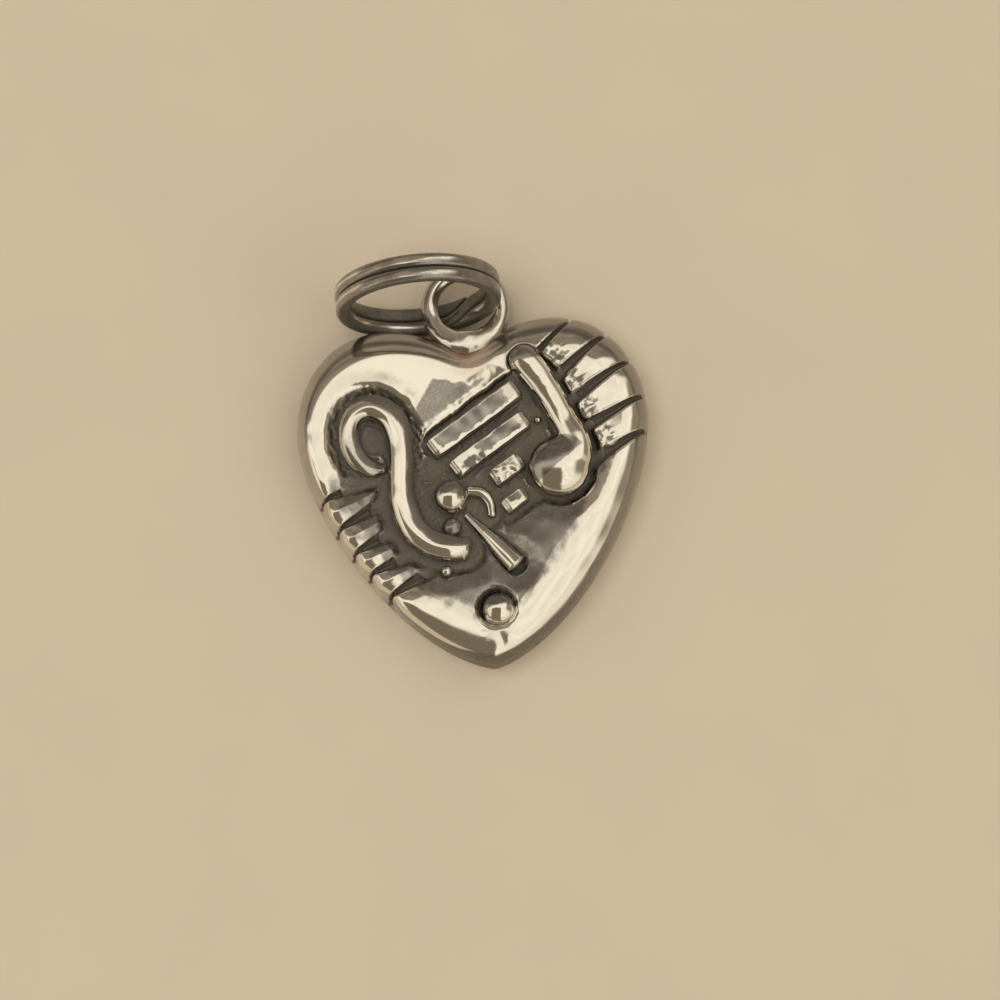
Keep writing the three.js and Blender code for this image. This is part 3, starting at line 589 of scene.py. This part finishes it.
# each groove is a wedge from its inner end to the rim; returns how much is cut, and the hump beside it
def grooveCuts(spots, rim, out):
    cut, rib = np.zeros(spots.shape[:2]), np.zeros(spots.shape[:2])
    for x, y, rimAngle, innerHalf in staffGroove["lines"]:
        heading = np.array([math.cos(math.radians(rimAngle)), math.sin(math.radians(rimAngle))])
        rimSpot = rim[np.argmax(out @ heading)]
        inner = np.array([x, y])
        span = np.linalg.norm(rimSpot - inner)
        line = (rimSpot - inner) / span
        if x > 0:  # these open into the trench beside the note
            inner = inner - staffGroove["overrun"] * line
            span = span + staffGroove["overrun"]
        along = (spots - inner) @ line / span
        aside = abs((spots - inner) @ np.array([-line[1], line[0]])) + np.maximum(-along * span, 0)
        half = innerHalf + (staffGroove["rimHalf"] - innerHalf) * np.clip(along, 0, 1) ** 0.8
        wedge = np.clip(1.12 - np.sqrt((aside / half) ** 2 + 0.0144), 0, 1)
        cut = np.maximum(cut, smoothStep(-0.02, 0.10, along) * wedge)
        hump = staffGroove["leftPillow"] if x < 0 else staffGroove["rightPillow"]
        swell = np.exp(-(aside / staffGroove["pillowHalf"]) ** 2)
        rib = np.maximum(rib, hump * smoothStep(0.0, 0.3, along) * swell)
    return cut, rib


def facetMark(spots):  # 1 inside the scraped place, by its distance from each of its edges
    x, y = spots[..., 0], spots[..., 1]
    aboveStaff = spots @ acrossStaff + 0.03 * ripple(spots, 0.4, 209)
    top = facetCut["top"] + facetCut["topRise"] * abs(x - facetCut["topMiddle"])
    belowTop = top - y + 0.04 * ripple(spots, 0.5, 211)
    pastLeft = x - facetCut["left"] - facetCut["leftLean"] * np.maximum(y - facetCut["leftFrom"], 0)
    return (smoothStep(*facetCut["staffSide"], aboveStaff) * smoothStep(-0.05, 0.06, belowTop)
            * smoothStep(-0.04, 0.06, pastLeft) * smoothStep(*facetCut["fade"], x))


# rows from the middle: a shallow dish, a shoulder that turns down a quarter of a squared ellipse,
# a side, and the hollow behind
def heartRings():
    middle = np.array(heart["middle"])
    rim = heartRim(heart["columns"])
    reach = np.linalg.norm(rim - middle, axis=1)
    out = (rim - middle) / reach[:, None]
    angle = np.degrees(np.arctan2(out[:, 1], out[:, 0]))
    stops = np.array(heart["shoulder"])
    spread = range(-heart["soften"], heart["soften"] + 1)
    shoulder, square, shadeEdgeWidth, shadeEdgeFilm = (
        np.mean([np.roll(np.interp(angle, stops[:, 0], column), k) for k in spread], 0)
        for column in stops.T[1:])
    share = np.linspace(0, 1, heart["crownRows"] + 1)[1:, None]
    turn = np.linspace(math.pi / 2, 0, heart["shoulderRows"] + 1)[1:, None]
    drop = np.linspace(0, math.pi / 2, heart["sideRows"] + 1)[1:, None]
    power = 2 / square
    distance = np.concatenate([share * (reach - shoulder),
                               reach - shoulder * (1 - np.clip(np.cos(turn), 0, 1) ** power),
                               reach - heart["seamInset"] * (1 - np.cos(drop))])
    crest = heart["crest"] - heart["crestLean"] * out[:, 1]  # the crest stands higher towards the tip
    sideLevel = heart["edge"] + (heart["seam"] - heart["edge"]) * np.sin(drop)
    level = np.concatenate([heart["dish"] + (crest - heart["dish"]) * share ** heart["dishPower"],
                            heart["edge"] + (crest - heart["edge"]) * np.clip(np.sin(turn), 0, 1) ** power,
                            np.broadcast_to(sideLevel, (len(drop), len(reach)))])
    spots = middle + out * distance[..., None]
    inset = reach - distance
    creaseSpread = range(-heart["creaseSoften"], heart["creaseSoften"] + 1)
    softened = np.mean([np.roll(spots, k, 1) for k in creaseSpread], 0)
    spots = spots + (softened - spots) * smoothStep(0.15, 0.9, inset)[..., None]  # the tip's crease runs out
    x, y = spots[..., 0], spots[..., 1]
    # trenches sink to their floor, and the metal beside them is rounded off towards them
    gap = trenchGap(spots)
    pitGap = discGap(spots, tipBead["x"] + beadPit["offset"][0], tipBead["y"] + beadPit["offset"][1],
                     tipBead["radius"] + tipBead["margin"]) + 0.012 * ripple(spots, 0.35, 203)
    onTop = smoothStep(0.05, 0.35, inset)
    leftLobe = smoothStep(-1.5, -2.4, x) * smoothStep(0.2, 1.2, y)
    outsideCurl = smoothStep(0.60, 0.85, discGap(spots, *trenchCut["curlMiddle"]))
    rough = leftLobe * outsideCurl  # the trench's floor is calm inside the curl
    slopeLow, slopeHigh = trenchCut["slope"]
    trench = 1 - smoothStep(slopeLow + trenchCut["curlSlope"] * leftLobe, slopeHigh, gap)
    pit = 1 - smoothStep(*beadPit["slope"], pitGap)
    calm = smoothStep(2.4, 1.8, x) * smoothStep(2.4, 3.0, y)  # the crest above the staff is even
    level = level + onTop * heart["wave"] * (1 - 0.85 * calm) * ripple(spots, 1.5, 204)
    lobe = smoothStep(0.4, 1.6, abs(x)) * smoothStep(0.2, 1.2, y)
    pillow = trenchCut["pillow"] + (trenchCut["lobePillow"] - trenchCut["pillow"]) * lobe
    beside = 1 - smoothStep(-0.1, trenchCut["pillowReach"], gap)
    level = level - onTop * pillow * beside * smoothStep(1.6, 2.3, level)
    level = level - np.maximum(level - trenchCut["floor"], 0) * trench
    level = level - np.maximum(level - beadPit["floor"], 0) * pit
    level = level + trench * (0.006 + 0.020 * rough) * ripple(spots, 0.22, 206)
    # dents on the ends of the right ribs, and streaks that run to the tip
    ribEnds = (smoothStep(0.80, 0.40, gap + 0.10 * ripple(spots, 0.3, 210))
               * smoothStep(2.4, 3.0, x) * smoothStep(0.2, 1.0, y))
    chewed = ribEnds * smoothStep(0.1, 0.7, ripple(spots, 0.26, 216))
    fromTip = discGap(spots, *heartMarks["tipStreaksAt"])
    pitted = smoothStep(0.66, 0.40, fromTip + 0.08 * ripple(spots, 0.3, 213))
    level = level + onTop * heartMarks["ribEndDents"] * ribEnds * (1 - trench) * ripple(spots, 0.40, 214)
    level = level + onTop * heartMarks["streak"] * pitted * ripple(spots * (1, 0.4), 0.34, 218)
    rings = np.concatenate([spots, level[..., None]], 2)
    # staff grooves cut square to the surface, with the ribs between them pillowed
    acrossStep = np.roll(rings, -1, 1) - np.roll(rings, 1, 1)
    normal = np.cross(np.gradient(rings, axis=0), acrossStep)
    normal /= np.maximum(np.linalg.norm(normal, axis=2, keepdims=True), 1e-12)
    cut, rib = grooveCuts(spots, rim, out)
    runOut = smoothStep(heart["edge"] - staffGroove["runOut"], heart["edge"], level)
    rings = rings - normal * (runOut * (1 - trench) * (staffGroove["depth"] * cut + rib))[..., None]
    # where patina stays, where shade is painted in the patina colours, and where the tools left their marks
    pastCrest = inset - shoulder + 0.12 * ripple(spots, 0.6, 207) + 0.025 * ripple(spots, 0.2, 208)
    # the low field inside the crest takes a film: partly patina, partly painted shade where the field mirrors
    # the dim half of the studio
    wider = 0.35 * smoothStep(0.4, 1.6, x) * smoothStep(-0.8, -2.4, y)
    lowField = smoothStep(-0.15 - wider, 0.55 - wider, pastCrest) * smoothStep(1.2, 0.2, y)
    spotted = ripple(spots, 0.5, 217) + 0.4 * ripple(spots, 0.2, 219)
    blotch = smoothStep(0.3, 1.1, spotted) * smoothStep(0.9, 0.25, gap)
    fieldEdge = np.maximum(smoothStep(0.7, 0.25, gap), smoothStep(0.6, -0.6, x))
    fieldFilmAndShade = heartMarks["field"] + heartMarks["fieldBlotch"] * blotch + heartMarks["fieldEdge"] * fieldEdge
    facet = facetMark(spots)
    sloping = smoothStep(0.0, 0.40, trench) * smoothStep(0.95, 0.55, trench)
    mottled = smoothStep(0.3, 0.7, trench) * smoothStep(1.0, 0.8, trench)
    sunk = (smoothStep(0.55, 0.95, trench) + heartMarks["trenchSlope"] * sloping
            - heartMarks["mottled"] * rough * mottled)
    fromNoteTop = discGap(spots, *heartMarks["noteTopAt"]) + 0.08 * ripple(spots, 0.5, 215)
    noteTop = smoothStep(1.0, 0.6, fromNoteTop) * smoothStep(0.30, 0.05, gap)
    # painted shade: a brown band along the edge, where the side mirrors the shadowed floor
    paintedShadeSide = smoothStep(1.15, 0.85, inset / shadeEdgeWidth + 0.03 * ripple(spots, 1.2, 212))
    shelter = np.maximum.reduce([
        sunk, fieldFilmAndShade * lowField, shadeEdgeFilm * paintedShadeSide,
        heartMarks["pit"] * pit ** 1.6, heartMarks["facet"] * facet, heartMarks["noteTop"] * noteTop,
        heartMarks["ribEnds"] * chewed * (1 - trench),
        heartMarks["groove"] * smoothStep(0.10, 0.65, cut) * smoothStep(0.0, 0.2, runOut),
        heartMarks["seam"] * smoothStep(0.75, 0.55, level) * (inset < 0.12)])
    chatter = np.maximum.reduce([0.5 * facet, 0.18 * ribEnds, 0.4 * pitted, 0.10 * lowField,
                                 smoothStep(0.05, 0.4, trench) * (0.12 + 0.88 * rough)])
    inner = middle + out * (reach - (heart["seamInset"] + heart["wall"]))[:, None]
    hollow = [np.concatenate([inner, np.full((len(reach), 1), height)], 1)
              for height in (heart["seam"], heart["ceiling"])]
    bare = np.zeros((2, len(reach)))
    return np.concatenate([rings, hollow]), np.concatenate([shelter, bare]), np.concatenate([chatter, bare])


def notchFlush(start, spot, cloud, grain):  # copper that came up round the loop's solder joint
    away = start.vector("DISTANCE", spot, (0.15, 5.0, 1.75), 1)
    return (away + (cloud - 0.5) * 0.6).band(0.40, 1.35, 0.75, 0.0)


rings, shelter, chatter = heartRings()
heartSilver = silver("heartSilver", markPatinaAndShade, markRough, notchFlush, scratches=0.6, smear=0.14)
heartMesh = skin("heartFront", rings, shelter=shelter, chatter=chatter)
place("heartFront", heartMesh, "heart_front", "heart", heartSilver)

backPlate = {"thickness": 0.5, "round": 0.2, "faceInset": 0.35, "topInset": 0.14,
             "sideLevels": [0.3, 0.4, 0.47], "columns": 360, "faceRows": 28, "edgeRows": 9, "topRows": 3}


# rows from the middle of the back face out, round the lower edge, up the side and in again
def backRings():
    rim = heartRim(backPlate["columns"])
    middle = np.array(heart["middle"])
    reach = np.linalg.norm(rim - middle, axis=1)
    turn = np.linspace(0, math.pi / 2, backPlate["edgeRows"])
    drawnIn = backPlate["faceInset"] - heart["seamInset"]
    side, thickness, topInset = backPlate["sideLevels"], backPlate["thickness"], backPlate["topInset"]
    inset = np.concatenate([heart["seamInset"] + drawnIn * (1 - np.sin(turn)),
                            [heart["seamInset"]] * len(side), [topInset]])
    level = np.concatenate([np.zeros(backPlate["faceRows"]), backPlate["round"] * (1 - np.cos(turn)), side,
                            [thickness], np.full(backPlate["topRows"], thickness)])
    outward = np.linspace(0, 1, backPlate["faceRows"] + 2)[1:-1, None]
    inward = np.linspace(1, 0, backPlate["topRows"] + 2)[1:-1, None]
    distance = np.concatenate([outward * (reach - backPlate["faceInset"]), reach - inset[:, None],
                               inward * (reach - topInset)])
    spots = middle + ((rim - middle) / reach[:, None]) * distance[..., None]
    return np.concatenate([spots, np.broadcast_to(level[:, None, None], (*distance.shape, 1))], 2)


def backPatina(start, spot, cloud, grain):  # a thin film on the face, and a dull edge
    level = start.node("ShaderNodeSeparateXYZ", None, {0: spot}, 2)
    return cloud.band(0.5, 0.75, 0.0, 0.28).largest((level + (cloud - 0.5) * 0.2).band(0.05, 0.25, 0.0, 0.55))


backSilver = silver("backSilver", backPatina, scratches=3.0, smear=0.3)
place("heartBack", skin("heartBack", backRings()), "heart_back", "heart", backSilver)

# Hanging loop with its solder, and the split ring

hangingLoop = {
    "centre": (0.15, 6.95, 1.4), "mean": 1.34, "wire": 0.31, "rows": 240, "sides": 40, "seed": 301,
    "solder": 0.19, "solderSpread": 0.85, "solderOut": 0.16, "solderUp": 0.30, "solderFlat": 0.42,
    "outerFilm": 0.34, "underFilm": 0.7,
}


# a ring-shaped tube that is thicker and squarer where the solder gathered, towards the notch
def loopRings():
    loop = hangingLoop
    around = np.linspace(0, tau, loop["rows"], endpoint=False)[:, None]
    turn = np.linspace(0, tau, loop["sides"], endpoint=False)
    toNotch = abs((around + math.pi / 2 + math.pi) % tau - math.pi)
    solder = np.exp(-(toNotch / loop["solderSpread"]) ** 2)
    flat = 1 - loop["solderFlat"] * solder
    acrossWire, upWire = (np.sign(wave) * abs(wave) ** flat for wave in (np.cos(turn), np.sin(turn)))

    def tube(radius):
        out = loop["mean"] + loop["solderOut"] * solder + radius * acrossWire
        rise = loop["solderUp"] * solder + radius * upWire
        return np.stack(np.broadcast_arrays(out * np.cos(around), out * np.sin(around), rise), 2)

    plain = tube(loop["wire"])
    lump, even = ripple(plain, 0.42, loop["seed"]), ripple(plain, 1.4, loop["seed"] + 1)
    radius = loop["wire"] * (1 + 0.010 * even) + solder * (loop["solder"] * (0.96 + 0.04 * lump))
    outer = np.cos(turn) + 0.12 * ripple(plain, 0.8, loop["seed"] + 3)
    shelter = np.maximum(loop["outerFilm"] * smoothStep(-0.1, 0.6, outer),
                         loop["underFilm"] * smoothStep(-0.2, -0.8, np.sin(turn)))
    chatter = 0.8 * solder * smoothStep(0.3, -0.3, outer)
    return tube(radius) + np.array(loop["centre"]), np.broadcast_to(shelter, radius.shape), chatter


rings, shelter, chatter = loopRings()
loopSilver = silver("loopSilver", markPatinaAndShade, markRough, scratches=0.5)
loopMesh = closedTube("hangingLoop", rings, shelter=shelter, chatter=chatter)
place("hangingLoop", loopMesh, "hanging_loop", "heart", loopSilver)

splitRing = {
    "centre": (-1.599, 7.151, 3.141), "lean": 7.0, "yaw": 0.427, "mean": 2.83, "radial": 0.25, "axial": 0.255,
    "pitch": 0.53, "jog": (108.0, 142.0), "jogGap": 0.03, "ends": (10.0, 10.0), "squareness": 0.62,
    "rows": 760, "sides": 36, "seed": 401,
    "darkEndAngle": 205.0, "darkEndShare": 0.66, "outerFilm": 0.54, "innerFilmAndShade": 0.74, "edgeFilm": 0.25,
}


# a wire section carried one turn, across in a short jog, and a second turn hard beside the first;
# each end is cut on a slant along the jog
def ringRings():
    jogStart, jogEnd = splitRing["jog"]
    startCut, endCut = splitRing["ends"]
    angle = np.linspace(jogStart + startCut - 360, jogEnd - endCut + 360, splitRing["rows"])

    def jogOffset(turned):
        return (smoothStep(jogStart, jogEnd, turned) - 0.5) * splitRing["pitch"]

    axial, room, seed = splitRing["axial"], splitRing["jogGap"], splitRing["seed"]
    low = jogOffset(angle) - axial
    high = jogOffset(angle) + axial
    high = np.where(angle < jogEnd - 360, np.minimum(high, jogOffset(angle + 360) - axial - room), high)
    low = np.where(angle > jogStart + 360, np.maximum(low, jogOffset(angle - 360) + axial + room), low)
    turn = np.linspace(0, tau, splitRing["sides"], endpoint=False)
    thin = smoothStep(0.0, 0.30, high - low)[:, None]
    around = np.radians(angle)[:, None]
    squareCos, squareSin = (np.sign(wave) * abs(wave) ** splitRing["squareness"]
                            for wave in (np.cos(turn), np.sin(turn)))
    out = splitRing["mean"] + splitRing["radial"] * (0.85 + 0.15 * thin) * squareCos
    aside = (low + high)[:, None] / 2 + (high - low)[:, None] / 2 * squareSin
    local = np.stack(np.broadcast_arrays(out * np.cos(around), aside, out * np.sin(around)), 2)
    lean, yaw = -math.radians(splitRing["lean"]), math.radians(splitRing["yaw"])
    flip = np.diag([-1, 1, -1])
    tip = np.array([[1, 0, 0], [0, math.cos(lean), -math.sin(lean)], [0, math.sin(lean), math.cos(lean)]])
    spin = np.array([[math.cos(yaw), -math.sin(yaw), 0], [math.sin(yaw), math.cos(yaw), 0], [0, 0, 1]])
    outerSide = np.broadcast_to(np.cos(turn), local.shape[:2]) + 0.06 * ripple(local, 1.2, seed)
    # film off each turn's crest and on the ring's inside: partly patina, partly painted shade that narrows the
    # highlight lines and darkens the inside
    offCrest = smoothStep(0.16, 0.46, abs(squareSin) + 0.10 * ripple(local, 1.2, seed + 1))
    nearTurn = smoothStep(0.05, -0.05, jogOffset(angle))[:, None]  # next to the heart, and bright inside
    wornInside = nearTurn * smoothStep(0.30, 0.12, abs(squareSin) + 0.06 * ripple(local, 1.2, seed + 2))
    inside = splitRing["innerFilmAndShade"] * (1 - wornInside)
    # darker on the outside towards one end of the ring
    fromDull = abs((angle - splitRing["darkEndAngle"] + 180) % 360 - 180)[:, None]
    darkEnd = smoothStep(52, 24, fromDull + 8 * ripple(local, 1.6, seed + 3))
    outside = np.maximum(splitRing["outerFilm"] * offCrest, splitRing["darkEndShare"] * darkEnd)
    edge = splitRing["edgeFilm"] * smoothStep(0.5, 0.2, abs(outerSide))
    shelter = np.where(outerSide > 0, outside, inside) + edge
    return local @ (spin @ tip @ flip).T + np.array(splitRing["centre"]), shelter


rings, shelter = ringRings()
ringSilver = silver("ringSilver", markPatinaAndShade, scratches=0.8, smear=0.45)
place("splitRing", skin("splitRing", rings, shelter=shelter), "split_ring", "ring", ringSilver)

# Floor, studio and camera

studio = {
    "floor": colour(0.80, 0.69, 0.55), "floorHalf": 4.0,
    "panel": colour(1.08, 1.0, 0.835), "panelEdge": colour(0.90, 0.835, 0.70),
    "lowPanel": colour(0.85, 0.765, 0.60), "dim": colour(0.25, 0.205, 0.155), "gap": colour(0.19, 0.152, 0.108),
    "horizon": colour(0.40, 0.335, 0.25), "farSide": colour(0.27, 0.225, 0.16),
    "across": (0.9956, -0.0941, 0), "away": (0.0941, 0.9956, 0),  # seen from the camera
    "lampSize": 0.5, "lampEnergy": 1.8, "lampColour": (1.0, 0.98, 0.95),
    "lampPlace": (-0.18, -0.10, 0.75), "lampTurn": (-8, -13, 0),
}
floorMesh = bpy.data.meshes.new("floor")
half = studio["floorHalf"]
corners = [(-half, -half, 0), (half, -half, 0), (half, half, 0), (-half, half, 0)]
floorMesh.from_pydata(corners, [], [(0, 1, 2, 3)])
floor = bpy.data.objects.new("floor", floorMesh)
scene.collection.objects.link(floor)
paper = bpy.data.materials.new("paleFloor")
paper.use_nodes = True
paper.node_tree.nodes.clear()
start = Sock(paper.node_tree)
mottle = start.noise(start.node("ShaderNodeTexCoord", None, None, 3), 160.0, 4.0)
tone = mottle.band(0.3, 0.7).mix(shade(studio["floor"], 0.97), studio["floor"])
matt = start.node("ShaderNodeBsdfPrincipled", None, {"Base Color": tone, "Roughness": 0.7})
start.node("ShaderNodeOutputMaterial", None, {0: matt})
floorMesh.materials.append(paper)

world = bpy.data.worlds.new("studio")
scene.world = world
world.use_nodes = True
world.node_tree.nodes.clear()
start = Sock(world.node_tree)
heading = start.node("ShaderNodeTexCoord", None, None, 0)
height, across, away = (start.vector("DOT_PRODUCT", heading, axis, 1)
                        for axis in ((0, 0, 1), studio["across"], studio["away"]))
drift = start.noise(heading, 2.6, 2.0)
cloth = start.noise(heading, 6.0, 3.0)
panel = cloth.band(0.40, 0.58).mix(studio["panelEdge"], studio["panel"])
sky = (height.band(0.25, 0.75) * across.band(-0.9, -0.7)).mix(studio["lowPanel"], panel)
backHalf = ((away + across * 0.06 - height * 0.28).band(-0.03, 0.03)
            * (away - across * 0.71 - height * 0.42).band(-0.03, 0.03))  # dim behind the charm
dim = drift.band(0.35, 0.65).mix(shade(studio["dim"], 0.72), shade(studio["dim"], 1.25))
sky = backHalf.mix(sky, dim)
blur = (drift - 0.5) * 0.25
standGap = ((across + blur).band(-0.78, -0.72) * (across + blur).band(0.14, 0.20, 1.0, 0.0)
            * (away + blur).band(-0.035, 0.015, 1.0, 0.0))  # a dark gap between two bright front panels
sky = standGap.mix(sky, studio["gap"])
sky = (across.band(0.62, 0.78) * away.band(-0.40, -0.05)).mix(sky, studio["farSide"])
sky = height.band(0.08, 0.14, 1.0, 0.0).mix(sky, studio["horizon"])
light = start.node("ShaderNodeBackground", None, {"Color": sky, "Strength": 1.0})
start.node("ShaderNodeOutputWorld", None, {0: light})

floorLamp = bpy.data.lights.new("floorLamp", "AREA")  # lights the floor, and isn't mirrored in the metal
floorLamp.shape, floorLamp.size = "DISK", studio["lampSize"]
floorLamp.energy, floorLamp.color = studio["lampEnergy"], studio["lampColour"]
lamp = bpy.data.objects.new("floorLamp", floorLamp)
lamp.location = studio["lampPlace"]
lamp.rotation_euler = [math.radians(turn) for turn in studio["lampTurn"]]
lamp.visible_glossy = False
scene.collection.objects.link(lamp)

shot = {"azimuth": -5.4, "elevation": 78.4, "distance": 0.190, "target": (0.00077, -0.000187, 0.0),
        "lens": 183.1, "sensor": 36.0, "clip": (0.005, 20.0)}
camera = bpy.data.objects.new("camera", bpy.data.cameras.new("camera"))
camera.data.lens, camera.data.sensor_width = shot["lens"], shot["sensor"]
camera.data.clip_start, camera.data.clip_end = shot["clip"]
azimuth, elevation = math.radians(shot["azimuth"]), math.radians(shot["elevation"])
backward = Vector((math.sin(azimuth) * math.cos(elevation), -math.cos(azimuth) * math.cos(elevation),
                   math.sin(elevation)))
camera.location = Vector(shot["target"]) + backward * shot["distance"]
camera.rotation_euler = backward.to_track_quat("Z", "Y").to_euler()
scene.collection.objects.link(camera)
scene.camera = camera
scene.view_settings.view_transform = "Standard"
print("studio ready")
